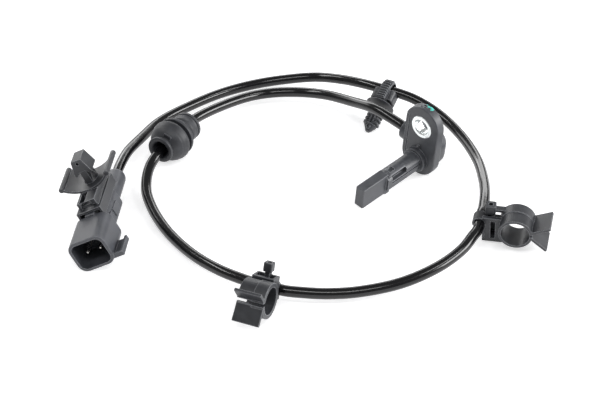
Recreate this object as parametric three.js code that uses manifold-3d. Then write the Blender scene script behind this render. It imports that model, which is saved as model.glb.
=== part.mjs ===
// Wheel speed sensor with its moulded-on lead: the sensor head, a grommet, two hose clips,
// a fir-tree clip and a two-pin connector with its mounting clip. Millimetres, +Z up.
// The lead lies in one open loop, and the origin is under the middle of the sensor head.
import * as THREE from 'three';
import { mergeVertices } from 'three/addons/utils/BufferGeometryUtils.js';
import Module from 'manifold-3d';

const wasm = await Module();
wasm.setup();

// Clearance between pieces that touch, and how finely round shapes are drawn
const FIT = 0.3;
const ROUND = 32;
const CURVE = 6;

// Lead
const CABLE_DIAMETER = 4.8;
const CABLE_STEPS = 80;
const CABLE_SIDES = 12;

// Sensor head, in its own frame: x across the flange, y back from the seating face, z up
const FLANGE_RADIUS = 9.5;
const FLANGE_RISE = 0.6;
const FLANGE_DROP = 17.4;
const FLANGE_THICKNESS = 4.4;
const FLANGE_EDGE = 0.5;
const RELIEF_WIDTH = 2.3;
const RELIEF_DEPTH = 0.7;
const RELIEF_TOP = 3;
const BUSHING_RADIUS = 5.5;
const BUSHING_BORE = 3.4;
const BUSHING_PROUD = 0.25;
const BUSHING_CHAMFER = 0.5;
const HOUSING_WIDTH = 18.8;
const HOUSING_HEIGHT = 19;
const HOUSING_CORNER = 6.5;
const HOUSING_DEPTH = 6.4;
const HOUSING_DOME = 4.6;
const HOUSING_DROP = 13;
const SCREW_CLEARANCE = 7.4;
const EXIT_REACH = 13.7;
const EXIT_RADIUS = 4.9;
const EXIT_SETBACK = 6.8;
const EXIT_SOCKET = 3;
const COLLAR_RADIUS = 5.9;
const COLLAR_LENGTH = 2.4;
const PROBE_DROP = 18.4;
const NECK_RADIUS = 4.65;
const NECK_FLAT = 3.7;
const NECK_LENGTH = 22.7;
const POCKET_LENGTH = 8;
const POCKET_HEIGHT = 4.4;
const POCKET_DEPTH = 1.3;
const POCKET_SETBACK = 2.2;
const GROOVE_HEIGHT = 0.7;
const GROOVE_DEPTH = 0.8;
const GROOVE_DROP = 3.1;
const BLADE_LENGTH = 16;
const BLADE_WIDTH = 4.9;
const BLADE_HEIGHT = 10.6;
const BLADE_CORNER = 0.5;
const BLADE_EDGE = 0.3;
const BLADE_RIB = 0.3;
const RIB_LENGTH = 1.3;
const LUG_SIZE = 1.4;
const NUB_RADIUS = 0.7;
const HEAD_ROLL = 9;

// Grommet, turned about y from its flared collar to its tail lip
const GROMMET_RADIUS = 9.7;
const GROMMET_GROOVE = 7.2;
const GROMMET_COLLAR = 6.2;
const GROMMET_TAIL = 6.7;
const GROMMET_TAIL_LENGTH = 12.2;
const GROMMET_WALL = 2.1;
const GROMMET_HEIGHT = 9.75;
const GROMMET_AT = [-86.4, -63.9];
const GROMMET_HEADING = 15.7;

// Hose clips: the lead lies along y at the clip's origin, the hose ring beside it along x
const SLEEVE_WALL = 0.4;
const LIP_THICKNESS = 1.3;
const MOUTH_GAP = 1.5;
const SLOT_WIDTH = 2;
const LATCH_STEM = 2.4;
const LATCH_HOLE = 1;
const FRONT_CLIP_AT = [19.8, -97.2, 5.2];
const FRONT_CLIP_TURN = { tilt: 0, roll: -19.2, heading: -69.5 };
const FRONT_RING = { offset: 15.8, bore: 5.7, wall: 1.4, band: 0.4, from: -6.7, to: 5.1 };
const FRONT_SLEEVE = { from: -5.2, to: 1.4 };
const FRONT_LATCH = { across: 4.8, along: -1.7, height: 10.1, size: 3.9 };
const FRONT_LIPS = { upper: 41, upperLength: 6, lower: -68, lowerLength: 7.7 };
const FRONT_BLOCK = { from: -5.6, to: 2.6, bottom: -4.2, top: 3, reach: 11 };
const FRONT_FRAME = { near: 4.1, far: 10.4, from: -6.5, to: 3.4, top: 7.1, wall: 1.1 };
const SIDE_CLIP_AT = [54.2, -7.8, 9.9];
const SIDE_CLIP_TURN = { tilt: 7, roll: -1.4, heading: 31 };
const SIDE_RING = { offset: 15.85, bore: 6.1, wall: 1.2, band: 0.3, from: -5.8, to: 5.8 };
const SIDE_SLEEVE = { from: -1.2, to: 4 };
const SIDE_LATCH = { across: 4.3, along: 3.35, height: 5.6, size: 4.4 };
const SIDE_LIPS = { upper: 23, upperLength: 8.7, lower: -41, lowerLength: 8.9 };
const SIDE_PLATE = { near: 1.2, reach: 10, bottom: -9.3, top: 3.4, thickness: 2, foot: 1.5, slotFrom: 4.8 };
const SIDE_BACK = { to: 5.4, thickness: 1, top: 0.8 };
const SIDE_STRAP = { bottom: 4.3, thickness: 1.3, depth: 3, reach: 11.5 };

// Fir-tree clip: the lead along y at the origin, the stud down -z
const TIE_WIDTH = 5.2;
const TIE_WALL = 1.5;
const TIE_RIBS = 7;
const TIE_RIB_HEIGHT = 0.45;
const BUCKLE_WIDTH = 7.8;
const BUCKLE_LENGTH = 11.4;
const BUCKLE_CORNER = 2.4;
const DISC_RADIUS = 7;
const DISC_THICKNESS = 1.1;
const DISC_DROP = 8.6;
const STUD_LENGTH = 14.6;
const STUD_WIDTH = 4.6;
const STUD_CORE = 2.3;
const STUD_GROOVE = 1.2;
const FIN_COUNT = 5;
const FIN_REACH = 3.9;
const FIN_THICKNESS = 0.9;
const FIN_PITCH = 2.1;
const TIP_LENGTH = 3.4;
const FIR_CLIP_AT = [-44.3, 44.5, 12.8];
const FIR_CLIP_TURN = { tilt: 0, roll: 61.8, heading: 105.6 };

// Connector, in its own frame: y from the mouth to the lead, z towards its mounting clip
const SHROUD_WIDTH = 17.1;
const SHROUD_HEIGHT = 14.9;
const SHROUD_CORNER = 4.2;
const SHROUD_LENGTH = 18.5;
const SHROUD_WALL = 1.3;
const SOCKET_DEPTH = 15;
const BODY_WIDTH = 10.6;
const BODY_HEIGHT = 10.2;
const BODY_CORNER = 2.6;
const BODY_LENGTH = 22;
const STEP_RISE = 0.9;
const TAIL_RADIUS = 4.6;
const TAIL_LENGTH = 19.5;
const TAIL_DOME = 2.6;
const TAIL_SOCKET = 3;
const RAIL_WIDTH = 4.4;
const RAIL_SETBACK = 6;
const PIN_DIAMETER = 1.8;
const PIN_PITCH = 6.3;
const PIN_SETBACK = 4;
const PIN_SEAT = 2.4;
const PIN_DROP = 1;
const PIN_POINT = 1.2;
const GUARD_REACH = 4.2;
const GUARD_LENGTH = 11.5;
const GUARD_THICKNESS = 1.2;
const GUARD_RIM = 2.4;
const GUARD_DROP = 5.5;
const CONNECTOR_AT = [-47.5, -137.4, 9.2];
const CONNECTOR_TURN = { tilt: 0.3, roll: -26.9, heading: 39 };

// Mounting clip on the connector
const BASE_WIDTH = 11.6;
const BASE_LENGTH = 26;
const BASE_WALL = 1;
const BASE_SETBACK = 19;
const BASE_TOP = 9.6;
const BASE_SKIRT = 4.6;
const PEDESTAL_WIDTH = 8.6;
const PEDESTAL_LENGTH = 21;
const PEDESTAL_TAPER = 2.4;
const POCKET_WIDTH = 4.4;
const WING_SPAN = 22.4;
const WING_LENGTH = 17;
const WING_SAG = 4.4;
const WING_THICKNESS = 1.1;
const WING_BEAD = 1.25;
const WING_MIDDLE = 12.9;
const WING_SETBACK = 30;
const ANCHOR_TOP_WIDTH = 4.8;
const ANCHOR_WIDTH = 8.6;
const ANCHOR_HEIGHT = 7;
const ANCHOR_LENGTH = 8.4;
const ANCHOR_TOP = 26.1;
const STEM_WIDTH = 3.2;
const STEM_FOOT = 8;
const ANCHOR_HOLE = 0.7;

const plastic = () => new THREE.MeshStandardMaterial({ color: 0x47484c, roughness: 0.6, metalness: 0 });
const rubber = () => new THREE.MeshStandardMaterial({ color: 0x3d4044, roughness: 0.75, metalness: 0 });
const jacket = () => new THREE.MeshStandardMaterial({ color: 0x131315, roughness: 0.3, metalness: 0 });
const zinc = () => new THREE.MeshStandardMaterial({ color: 0xe4e8ea, roughness: 0.3, metalness: 1 });
const tin = () => new THREE.MeshStandardMaterial({ color: 0xc9c6bf, roughness: 0.3, metalness: 1 });

const rad = (degrees) => (degrees * Math.PI) / 180;

// A closed geometry as a solid that can be joined and cut
function solid(geometry) {
  const bare = geometry.clone();
  bare.deleteAttribute('normal');
  bare.deleteAttribute('uv');
  const merged = mergeVertices(bare, 1e-4);
  const corners = merged.index.array;
  const triVerts = [];
  for (let i = 0; i < corners.length; i += 3) {
    const [a, b, c] = [corners[i], corners[i + 1], corners[i + 2]];
    if (a !== b && b !== c && c !== a) triVerts.push(a, b, c);
  }
  return new wasm.Manifold(new wasm.Mesh({
    numProp: 3,
    vertProperties: new Float32Array(merged.attributes.position.array),
    triVerts: new Uint32Array(triVerts),
  }));
}

// A finished solid as a named piece of the scene
function piece(name, shape, material) {
  const data = shape.getMesh();
  const geometry = new THREE.BufferGeometry();
  geometry.setAttribute('position', new THREE.BufferAttribute(data.vertProperties, 3));
  geometry.setIndex(new THREE.BufferAttribute(data.triVerts, 1));
  geometry.computeVertexNormals();
  const mesh = new THREE.Mesh(geometry, material);
  mesh.name = name;
  return mesh;
}

const join = (...shapes) => shapes.reduce((whole, shape) => whole.add(shape));
const cut = (shape, ...tools) => tools.reduce((rest, tool) => rest.subtract(tool), shape);

function extrude(shape, depth, edge, steps) {
  return new THREE.ExtrudeGeometry(shape, {
    depth: depth - 2 * edge,
    curveSegments: CURVE,
    bevelEnabled: edge > 0,
    bevelThickness: edge,
    bevelSize: edge,
    bevelOffset: -edge,
    bevelSegments: steps,
  }).translate(0, 0, edge);
}

// An outline drawn in x and z that runs back along y
function alongY(shape, front, depth, edge = 0, steps = 1) {
  return solid(extrude(shape, depth, edge, steps).rotateX(Math.PI / 2).translate(0, front + depth, 0));
}

// An outline drawn in x and y that rises along z
function alongZ(shape, bottom, height, edge = 0, steps = 1) {
  return solid(extrude(shape, height, edge, steps).translate(0, 0, bottom));
}

// A block between two corners
function block([x0, y0, z0], [x1, y1, z1]) {
  const box = new THREE.BoxGeometry(x1 - x0, y1 - y0, z1 - z0);
  return solid(box.translate((x0 + x1) / 2, (y0 + y1) / 2, (z0 + z1) / 2));
}

function rodX(radius, from, length, y, z, sides = ROUND) {
  const rod = new THREE.CylinderGeometry(radius, radius, length, sides);
  return solid(rod.rotateZ(Math.PI / 2).translate(from + length / 2, y, z));
}

function rodY(radius, from, length, x = 0, z = 0, sides = ROUND) {
  const rod = new THREE.CylinderGeometry(radius, radius, length, sides);
  return solid(rod.translate(x, from + length / 2, z));
}

function rodZ(radius, from, length, x, y, sides = ROUND) {
  const rod = new THREE.CylinderGeometry(radius, radius, length, sides);
  return solid(rod.rotateX(Math.PI / 2).translate(x, y, from + length / 2));
}

// A ring turned about y from its closed section of radii and distances
function turned(section, sides = ROUND) {
  const points = section.map(([r, y]) => new THREE.Vector2(r, y));
  return solid(new THREE.LatheGeometry([...points, points[0]], sides));
}

function rounded(width, height, corner, x = 0, z = 0) {
  const shape = new THREE.Shape();
  const [w, h] = [width / 2 - corner, height / 2 - corner];
  shape.absarc(x + w, z + h, corner, 0, Math.PI / 2);
  shape.absarc(x - w, z + h, corner, Math.PI / 2, Math.PI);
  shape.absarc(x - w, z - h, corner, Math.PI, 1.5 * Math.PI);
  shape.absarc(x + w, z - h, corner, 1.5 * Math.PI, 2 * Math.PI);
  return shape;
}

// A rectangle with its corners cut off
function chamfered(width, height, corner) {
  const [w, h] = [width / 2, height / 2];
  return polygon(
    [w, corner - h], [w, h - corner], [w - corner, h], [corner - w, h],
    [-w, h - corner], [-w, corner - h], [corner - w, -h], [w - corner, -h],
  );
}

const polygon = (...corners) => new THREE.Shape(corners.map(([x, z]) => new THREE.Vector2(x, z)));

// The tilt that brings the flange's foot and the blade's toe down on one level
function restingTilt() {
  const roll = rad(HEAD_ROLL);
  const foot = FLANGE_DROP * Math.cos(roll) + FLANGE_RADIUS;
  const toe = (PROBE_DROP + BLADE_HEIGHT / 2) * Math.cos(roll) + (BLADE_WIDTH / 2) * Math.sin(roll);
  return Math.atan2(foot - toe, NECK_LENGTH + BLADE_LENGTH);
}

function bolt_bushing() {
  const [front, back] = [-BUSHING_PROUD, FLANGE_THICKNESS + BUSHING_PROUD];
  const mouth = BUSHING_BORE + BUSHING_CHAMFER;
  return turned([
    [mouth, front], [BUSHING_RADIUS - BUSHING_PROUD, front], [BUSHING_RADIUS, 0], [BUSHING_RADIUS, FLANGE_THICKNESS],
    [BUSHING_RADIUS - BUSHING_PROUD, back], [mouth, back], [BUSHING_BORE, back - BUSHING_CHAMFER],
    [BUSHING_BORE, front + BUSHING_CHAMFER],
  ]);
}

// Flange, back housing, cable exit, neck and blade, moulded as one
function sensor_housing() {
  const outline = new THREE.Shape();
  outline.absarc(0, FLANGE_RISE, FLANGE_RADIUS, 0, Math.PI);
  outline.absarc(0, -FLANGE_DROP, FLANGE_RADIUS, Math.PI, 2 * Math.PI);
  const flange = alongY(outline, 0, FLANGE_THICKNESS, FLANGE_EDGE);
  const relief = block(
    [-FLANGE_RADIUS - 1, -1, -FLANGE_DROP - FLANGE_RADIUS],
    [RELIEF_WIDTH - FLANGE_RADIUS, RELIEF_DEPTH, RELIEF_TOP],
  );
  const back = rounded(HOUSING_WIDTH, HOUSING_HEIGHT, HOUSING_CORNER, 0, -HOUSING_DROP);
  const housing = alongY(back, FLANGE_EDGE, FLANGE_THICKNESS - FLANGE_EDGE + HOUSING_DEPTH, HOUSING_DOME, 4);
  const screwRoom = rodY(SCREW_CLEARANCE, FLANGE_THICKNESS, HOUSING_DEPTH + 1);
  const exit = rodX(EXIT_RADIUS, -EXIT_REACH, EXIT_REACH, EXIT_SETBACK, -HOUSING_DROP);

  const reach = NECK_LENGTH + BLADE_LENGTH;
  const collar = rodY(COLLAR_RADIUS, -COLLAR_LENGTH, COLLAR_LENGTH + 1, 0, -PROBE_DROP);
  const round = rodY(NECK_RADIUS, -NECK_LENGTH - 1, NECK_LENGTH + 2, 0, -PROBE_DROP);
  const sides = block([-NECK_FLAT, -NECK_LENGTH - 2, -PROBE_DROP - 9], [NECK_FLAT, 2, -PROBE_DROP + 9]);
  const pocket = block(
    [NECK_FLAT - POCKET_DEPTH, POCKET_SETBACK - NECK_LENGTH, -PROBE_DROP - POCKET_HEIGHT / 2],
    [NECK_RADIUS, POCKET_SETBACK + POCKET_LENGTH - NECK_LENGTH, -PROBE_DROP + POCKET_HEIGHT / 2],
  );
  const groove = block(
    [NECK_FLAT - GROOVE_DEPTH, POCKET_SETBACK - NECK_LENGTH, -PROBE_DROP - GROOVE_DROP - GROOVE_HEIGHT / 2],
    [NECK_RADIUS, -COLLAR_LENGTH, -PROBE_DROP - GROOVE_DROP + GROOVE_HEIGHT / 2],
  );
  const neck = cut(round.intersect(sides), pocket, groove);

  const section = rounded(BLADE_WIDTH, BLADE_HEIGHT, BLADE_CORNER, 0, -PROBE_DROP);
  const blade = alongY(section, -reach, BLADE_LENGTH, BLADE_EDGE);
  const rib = rounded(BLADE_WIDTH + 2 * BLADE_RIB, BLADE_HEIGHT - 2, BLADE_CORNER, 0, -PROBE_DROP);
  const lug = block(
    [BLADE_WIDTH / 2 - LUG_SIZE, -NECK_LENGTH - LUG_SIZE, -PROBE_DROP - BLADE_HEIGHT / 2 - BLADE_RIB],
    [BLADE_WIDTH / 2 + BLADE_RIB, -NECK_LENGTH + LUG_SIZE, -PROBE_DROP - BLADE_HEIGHT / 2 + LUG_SIZE],
  );
  const nub = rodY(NUB_RADIUS, -1, 2, 0, COLLAR_RADIUS - PROBE_DROP + 2 * NUB_RADIUS, 12);
  return cut(
    join(cut(flange, relief), cut(housing, screwRoom), exit, collar, neck, blade, nub, lug)
      .add(alongY(rib, -NECK_LENGTH - RIB_LENGTH, RIB_LENGTH)),
    rodY(BUSHING_RADIUS + FIT, -1, FLANGE_THICKNESS + 2),
  );
}

// Bellows grommet with a panel groove, a flared collar in front and a ringed tail
function grommet() {
  const front = 11;
  const groove = front + 2;
  const dome = groove + 1.4;
  const tail = groove + GROMMET_TAIL_LENGTH;
  const bore = CABLE_DIAMETER / 2 + FIT;
  return turned([
    [GROMMET_COLLAR, 0], [GROMMET_COLLAR, 1.6], [GROMMET_COLLAR - 1.3, 2.6], [GROMMET_COLLAR + 0.4, 3.6],
    [GROMMET_RADIUS - 1.1, 6.4], [GROMMET_RADIUS - 0.1, 8.6], [GROMMET_RADIUS, 9.8], [GROMMET_RADIUS - 0.3, front],
    [GROMMET_GROOVE, front + 0.2], [GROMMET_GROOVE, groove], [GROMMET_RADIUS - 0.5, groove + 0.2],
    [GROMMET_RADIUS - 0.5, dome], [GROMMET_RADIUS - 1.3, dome + 1.8], [GROMMET_TAIL + 0.2, dome + 3.4],
    [GROMMET_TAIL, tail - 2.6], [GROMMET_TAIL - 0.4, tail - 2.2], [GROMMET_TAIL, tail - 1.6],
    [GROMMET_TAIL - 0.2, tail - 0.2], [GROMMET_TAIL - 1.1, tail], [bore, tail], [bore, 6],
    [GROMMET_COLLAR - GROMMET_WALL - 0.4, 3], [GROMMET_COLLAR - GROMMET_WALL + 0.5, 0],
  ]);
}

// A lip of the hose ring's mouth, from its root on the ring
function lip(ring, length, angle) {
  const width = ring.to - ring.from;
  const plate = new THREE.BoxGeometry(length, width, LIP_THICKNESS);
  plate.translate(length / 2, (ring.from + ring.to) / 2, 0).rotateY(-rad(angle));
  const root = ring.offset + ring.bore + ring.wall / 2;
  return solid(plate.translate(root, 0, (Math.sign(angle) * (MOUTH_GAP + LIP_THICKNESS)) / 2));
}

// Sleeve on the lead, its latch, and the open hose ring with fish-tail lips on the clip's body
function hoseClip(ring, sleeve, latch, lips, body, rooms, lead) {
  const outer = ring.bore + ring.wall;
  const middle = (ring.from + ring.to) / 2 + 0.6;
  const [x, y] = [latch.across, latch.along];
  const [half, stem] = [latch.size / 2, LATCH_STEM / 2];
  const bottom = latch.height - half;
  const whole = join(
    rodY(outer, ring.from, ring.to - ring.from, ring.offset),
    rodY(outer + ring.band, middle, ring.to - middle, ring.offset),
    rodY(CABLE_DIAMETER / 2 + FIT + SLEEVE_WALL, sleeve.from, sleeve.to - sleeve.from),
    block([x - stem, y - stem, 0], [x + stem, y + stem, bottom + 1]),
    alongZ(rounded(latch.size, latch.size, 0.6, x, y), bottom, latch.size, 0.4),
    ...body,
  );
  const mouth = [ring.offset, ring.offset + outer + ring.band + 1];
  const hollow = cut(
    whole,
    rodY(ring.bore, ring.from - 1, ring.to - ring.from + 2, ring.offset),
    block([mouth[0], ring.from - 1, -MOUTH_GAP / 2], [mouth[1], ring.to + 1, MOUTH_GAP / 2]),
  );
  return cut(
    join(hollow, lip(ring, lips.upperLength, lips.upper), lip(ring, lips.lowerLength, lips.lower)),
    ...rooms,
    rodZ(LATCH_HOLE, latch.height, latch.size, x, y, 12),
    lead,
  );
}

// The front clip's body: a slotted block under an open frame that the latch stands in
function hoseClipFront(lead) {
  const { from, to, bottom, top, reach } = FRONT_BLOCK;
  const frame = FRONT_FRAME;
  const body = [
    block([0, from, bottom], [reach, to, top]),
    block([frame.near, frame.from, 0], [frame.far, frame.to, frame.top]),
  ];
  const cavity = block(
    [frame.near + frame.wall, frame.from + frame.wall, FRONT_BLOCK.top - 1.2],
    [frame.far - frame.wall, frame.to - frame.wall, frame.top + 1],
  );
  const slot = block([frame.near, from - 1, bottom + 1.4], [frame.near + SLOT_WIDTH, to + 1, top - 2.6]);
  const latch = block([FRONT_LATCH.across - 1, FRONT_LATCH.along - 1, 0], [FRONT_LATCH.across + 1, FRONT_LATCH.along + 1, frame.top]);
  return hoseClip(FRONT_RING, FRONT_SLEEVE, FRONT_LATCH, FRONT_LIPS, body, [cut(cavity, latch), slot], lead);
}

// The side clip's body: a tall slotted plate with a foot and a back, and a strap from the latch to the ring
function hoseClipSide(lead) {
  const { near, reach, bottom, top, thickness, foot, slotFrom } = SIDE_PLATE;
  const { from } = SIDE_SLEEVE;
  const [back, strap] = [SIDE_BACK, SIDE_STRAP];
  const body = [
    block([near, from, bottom], [reach, from + thickness, top]),
    block([near, from, bottom], [reach, back.to, bottom + foot]),
    block([near, from, bottom], [near + foot, back.to, -1]),
    block([near, back.to - back.thickness, bottom], [reach, back.to, back.top]),
    block([SIDE_LATCH.across, back.to - strap.depth, strap.bottom], [strap.reach, back.to, strap.bottom + strap.thickness]),
  ];
  const slot = block(
    [slotFrom, from - 1, bottom + foot + 0.5],
    [slotFrom + SLOT_WIDTH, from + thickness + 1, top - foot],
  );
  return hoseClip(SIDE_RING, SIDE_SLEEVE, SIDE_LATCH, SIDE_LIPS, body, [slot], lead);
}

// Cable-tie strap with its buckle, a sealing disc and a finned stud
function firTreeClip(lead) {
  const strapRadius = CABLE_DIAMETER / 2 + FIT + TIE_WALL;
  const strap = rodY(strapRadius, -TIE_WIDTH / 2, TIE_WIDTH);
  const ribs = Array.from({ length: TIE_RIBS }, (_, i) => {
    const rib = new THREE.BoxGeometry(1, TIE_WIDTH - 1, 0.6).translate(0, 0, strapRadius + TIE_RIB_HEIGHT - 0.3);
    return solid(rib.rotateY(rad(-105 + (i * 150) / (TIE_RIBS - 1))));
  });
  const discTop = -DISC_DROP;
  const buckle = alongZ(rounded(BUCKLE_WIDTH, BUCKLE_LENGTH, BUCKLE_CORNER), discTop + 1.4, DISC_DROP - 2.8, 0.5);
  const disc = new THREE.CylinderGeometry(DISC_RADIUS - 2.6, DISC_RADIUS, DISC_THICKNESS * 1.6, ROUND);
  const shade = solid(disc.rotateX(Math.PI / 2).translate(0, 0, discTop - DISC_THICKNESS * 0.8 + 0.2));
  const hollow = new THREE.CylinderGeometry(DISC_RADIUS - 3.4, DISC_RADIUS - 0.7, DISC_THICKNESS, ROUND);
  const under = solid(hollow.rotateX(Math.PI / 2).translate(0, 0, discTop - DISC_THICKNESS * 1.2));
  const studTop = discTop - DISC_THICKNESS;
  const studBottom = studTop - STUD_LENGTH;
  const neck = rodZ(STUD_CORE, studTop - 1, DISC_DROP - 2, 0, 0, 16);
  const core = block([-STUD_CORE, -STUD_CORE / 2, studBottom + TIP_LENGTH / 2], [STUD_CORE, STUD_CORE / 2, studTop + 1]);
  const fins = Array.from({ length: FIN_COUNT }, (_, i) => {
    const top = studTop - 1.2 - i * FIN_PITCH;
    return alongZ(chamfered(STUD_WIDTH, 2 * FIN_REACH, 1.5), top - FIN_THICKNESS, FIN_THICKNESS);
  });
  const spine = alongZ(chamfered(STUD_WIDTH - 1, 2 * FIN_REACH - 2.4, 1), studBottom + TIP_LENGTH - 0.5, STUD_LENGTH - TIP_LENGTH);
  const tip = new THREE.CylinderGeometry(FIN_REACH - 0.7, 1.1, TIP_LENGTH, 16);
  const point = solid(tip.rotateX(Math.PI / 2).translate(0, 0, studBottom + TIP_LENGTH / 2));
  const side = STUD_WIDTH / 2 - 0.9;
  const grooves = [-1, 1].map((s) => block(
    [Math.min(s * side, s * 9), -STUD_GROOVE / 2, studBottom + TIP_LENGTH],
    [Math.max(s * side, s * 9), STUD_GROOVE / 2, studTop - 0.6],
  ));
  const eye = block([-FIN_REACH, -STUD_GROOVE / 2, studBottom + 1], [-side, STUD_GROOVE / 2, studBottom + 2.6]);
  const stud = cut(join(core, spine, point, ...fins), ...grooves, eye);
  return cut(join(strap, ...ribs, buckle, cut(shade, under), neck, stud), lead);
}

// The height of the rail's top, just under the mounting clip's roof
const railTop = BASE_TOP - BASE_WALL - FIT;
const bodyEnd = SHROUD_LENGTH + BODY_LENGTH;
const tailEnd = bodyEnd + TAIL_LENGTH;

// Shroud, mid body, lead tail, clip rail and latch guard, moulded as one
function connector_body(lead) {
  const shroud = alongY(rounded(SHROUD_WIDTH, SHROUD_HEIGHT, SHROUD_CORNER), 0, SHROUD_LENGTH, 0.35);
  const room = rounded(SHROUD_WIDTH - 2 * SHROUD_WALL, SHROUD_HEIGHT - 2 * SHROUD_WALL, SHROUD_CORNER - SHROUD_WALL);
  const socket = alongY(room, -1, SOCKET_DEPTH + 1);
  const middle = alongY(rounded(BODY_WIDTH, BODY_HEIGHT, BODY_CORNER), SHROUD_LENGTH - 1, BODY_LENGTH + 1, 0.5);
  const steps = [[4, 2.6], [13.5, 1.8]].map(([from, rise]) => block(
    [BODY_WIDTH / 2 - 1, SHROUD_LENGTH + from - 4.2, -BODY_HEIGHT / 2 + BODY_CORNER],
    [BODY_WIDTH / 2 + STEP_RISE * (rise / 2.6), SHROUD_LENGTH + from + 2.6, rise],
  ));
  const straight = tailEnd - TAIL_DOME;
  const tail = solid(new THREE.LatheGeometry([
    [0, bodyEnd - 1], [TAIL_RADIUS, bodyEnd - 1], [TAIL_RADIUS, straight], [TAIL_RADIUS - 0.4, straight + 1.3],
    [TAIL_RADIUS - 1.2, tailEnd - 0.4], [TAIL_RADIUS - 2, tailEnd], [0, tailEnd],
  ].map(([r, y]) => new THREE.Vector2(r, y)), ROUND));
  const rail = block([-RAIL_WIDTH / 2, RAIL_SETBACK, 0], [RAIL_WIDTH / 2, BASE_SETBACK + BASE_LENGTH - 1, railTop]);
  const wall = SHROUD_WIDTH / 2 - 0.4;
  const edge = SHROUD_WIDTH / 2 + GUARD_REACH;
  const floor = -GUARD_DROP - GUARD_THICKNESS / 2;
  const guard = block([wall - 2, 0.5, floor], [edge, 0.5 + GUARD_LENGTH, floor + GUARD_THICKNESS]);
  const rims = join(
    block([edge - GUARD_THICKNESS, 0.5, floor], [edge, 0.5 + GUARD_LENGTH, floor + GUARD_RIM]),
    block([wall - 1, 0.5, floor], [edge, 0.5 + GUARD_THICKNESS, floor + GUARD_RIM]),
  );
  const seats = [-1, 1].map((s) => rodY(
    PIN_DIAMETER / 2 + FIT, SOCKET_DEPTH - 1, PIN_SEAT + FIT + 1, (s * PIN_PITCH) / 2, -PIN_DROP, 16,
  ));
  return cut(join(shroud, middle, ...steps, tail, rail, guard, rims), socket, ...seats, lead);
}

function contact_pin(side) {
  const length = SOCKET_DEPTH + PIN_SEAT - PIN_SETBACK;
  const [r, y] = [PIN_DIAMETER / 2, PIN_SETBACK];
  const pin = new THREE.LatheGeometry([
    [0, y], [r * 0.45, y], [r, y + PIN_POINT], [r, y + length], [0, y + length],
  ].map(([radius, along]) => new THREE.Vector2(radius, along)), 16);
  return solid(pin.translate((side * PIN_PITCH) / 2, 0, -PIN_DROP));
}

// Channel on the connector's rail, a curved spring leaf and the barbed anchor above it
function connector_clip() {
  const half = BASE_WIDTH / 2;
  const [front, rear] = [BASE_SETBACK, BASE_SETBACK + BASE_LENGTH];
  const channel = cut(
    block([-half, front, BASE_SKIRT], [half, rear, BASE_TOP]),
    block([BASE_WALL - half, front - 1, 0], [half - BASE_WALL, rear + 1, BASE_TOP - BASE_WALL]),
  );
  const leafTop = WING_MIDDLE + WING_THICKNESS / 2;
  const foot = PEDESTAL_WIDTH / 2;
  const pedestal = alongY(
    polygon([-foot - 0.8, BASE_TOP - 0.5], [foot + 0.8, BASE_TOP - 0.5], [foot, BASE_TOP + 1.2], [foot, WING_MIDDLE], [-foot, WING_MIDDLE], [-foot, BASE_TOP + 1.2]),
    front + PEDESTAL_TAPER, PEDESTAL_LENGTH,
  );
  const slope = new THREE.BoxGeometry(3 * BASE_WIDTH, 12, 12);
  const ramp = solid(slope.rotateX(rad(-55)).translate(0, front - 3.6, WING_MIDDLE + 5.2));
  const pocket = alongY(
    polygon([-POCKET_WIDTH / 2, WING_MIDDLE - 0.2], [0, BASE_TOP + 0.5], [POCKET_WIDTH / 2, WING_MIDDLE - 0.2]),
    front - 1, PEDESTAL_LENGTH * 0.55,
  );
  const recess = block([-foot + 1.2, front - 1, BASE_TOP + 0.02], [foot - 0.4, front + PEDESTAL_TAPER + 1.6, BASE_TOP + 0.9]);

  const span = WING_SPAN / 2;
  const bow = (span * span + WING_SAG * WING_SAG) / (2 * WING_SAG);
  const reach = Math.asin(span / bow);
  const centre = WING_MIDDLE + bow;
  const leaf = new THREE.Shape();
  leaf.absarc(0, centre, bow + WING_THICKNESS / 2, 1.5 * Math.PI - reach, 1.5 * Math.PI + reach, false);
  leaf.absarc(0, centre, bow - WING_THICKNESS / 2, 1.5 * Math.PI + reach, 1.5 * Math.PI - reach, true);
  const wing = join(
    alongY(leaf, WING_SETBACK, WING_LENGTH),
    ...[-1, 1].map((s) => rodY(WING_BEAD, WING_SETBACK, WING_LENGTH, s * span, centre - bow * Math.cos(reach), 12)),
  );

  const [crown, barb, stem] = [ANCHOR_TOP_WIDTH / 2, ANCHOR_WIDTH / 2, STEM_WIDTH / 2];
  const middle = WING_SETBACK + WING_LENGTH / 2;
  const head = alongY(
    polygon(
      [-crown, ANCHOR_TOP], [-barb, ANCHOR_TOP - ANCHOR_HEIGHT], [-barb + 1.1, ANCHOR_TOP - ANCHOR_HEIGHT - 0.9],
      [-stem, ANCHOR_TOP - ANCHOR_HEIGHT + 1], [stem, ANCHOR_TOP - ANCHOR_HEIGHT + 1],
      [barb - 1.1, ANCHOR_TOP - ANCHOR_HEIGHT - 0.9], [barb, ANCHOR_TOP - ANCHOR_HEIGHT], [crown, ANCHOR_TOP],
    ),
    middle - ANCHOR_LENGTH / 2, ANCHOR_LENGTH, 0.3,
  );
  const post = block([-stem, middle - ANCHOR_LENGTH / 2 + 0.4, leafTop - 1], [stem, middle + ANCHOR_LENGTH / 2 - 0.4, ANCHOR_TOP - 1]);
  const footCone = new THREE.CylinderGeometry(stem, STEM_FOOT / 2, 4.2, 24);
  const cone = solid(footCone.rotateX(Math.PI / 2).translate(0, middle, leafTop + 1.7));
  const hole = rodY(ANCHOR_HOLE, middle - ANCHOR_LENGTH, ANCHOR_LENGTH, 0, ANCHOR_TOP - 1.8, 12);
  return cut(join(channel, cut(pedestal, ramp, pocket, recess), wing, post, cone, head), hole);
}

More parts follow.
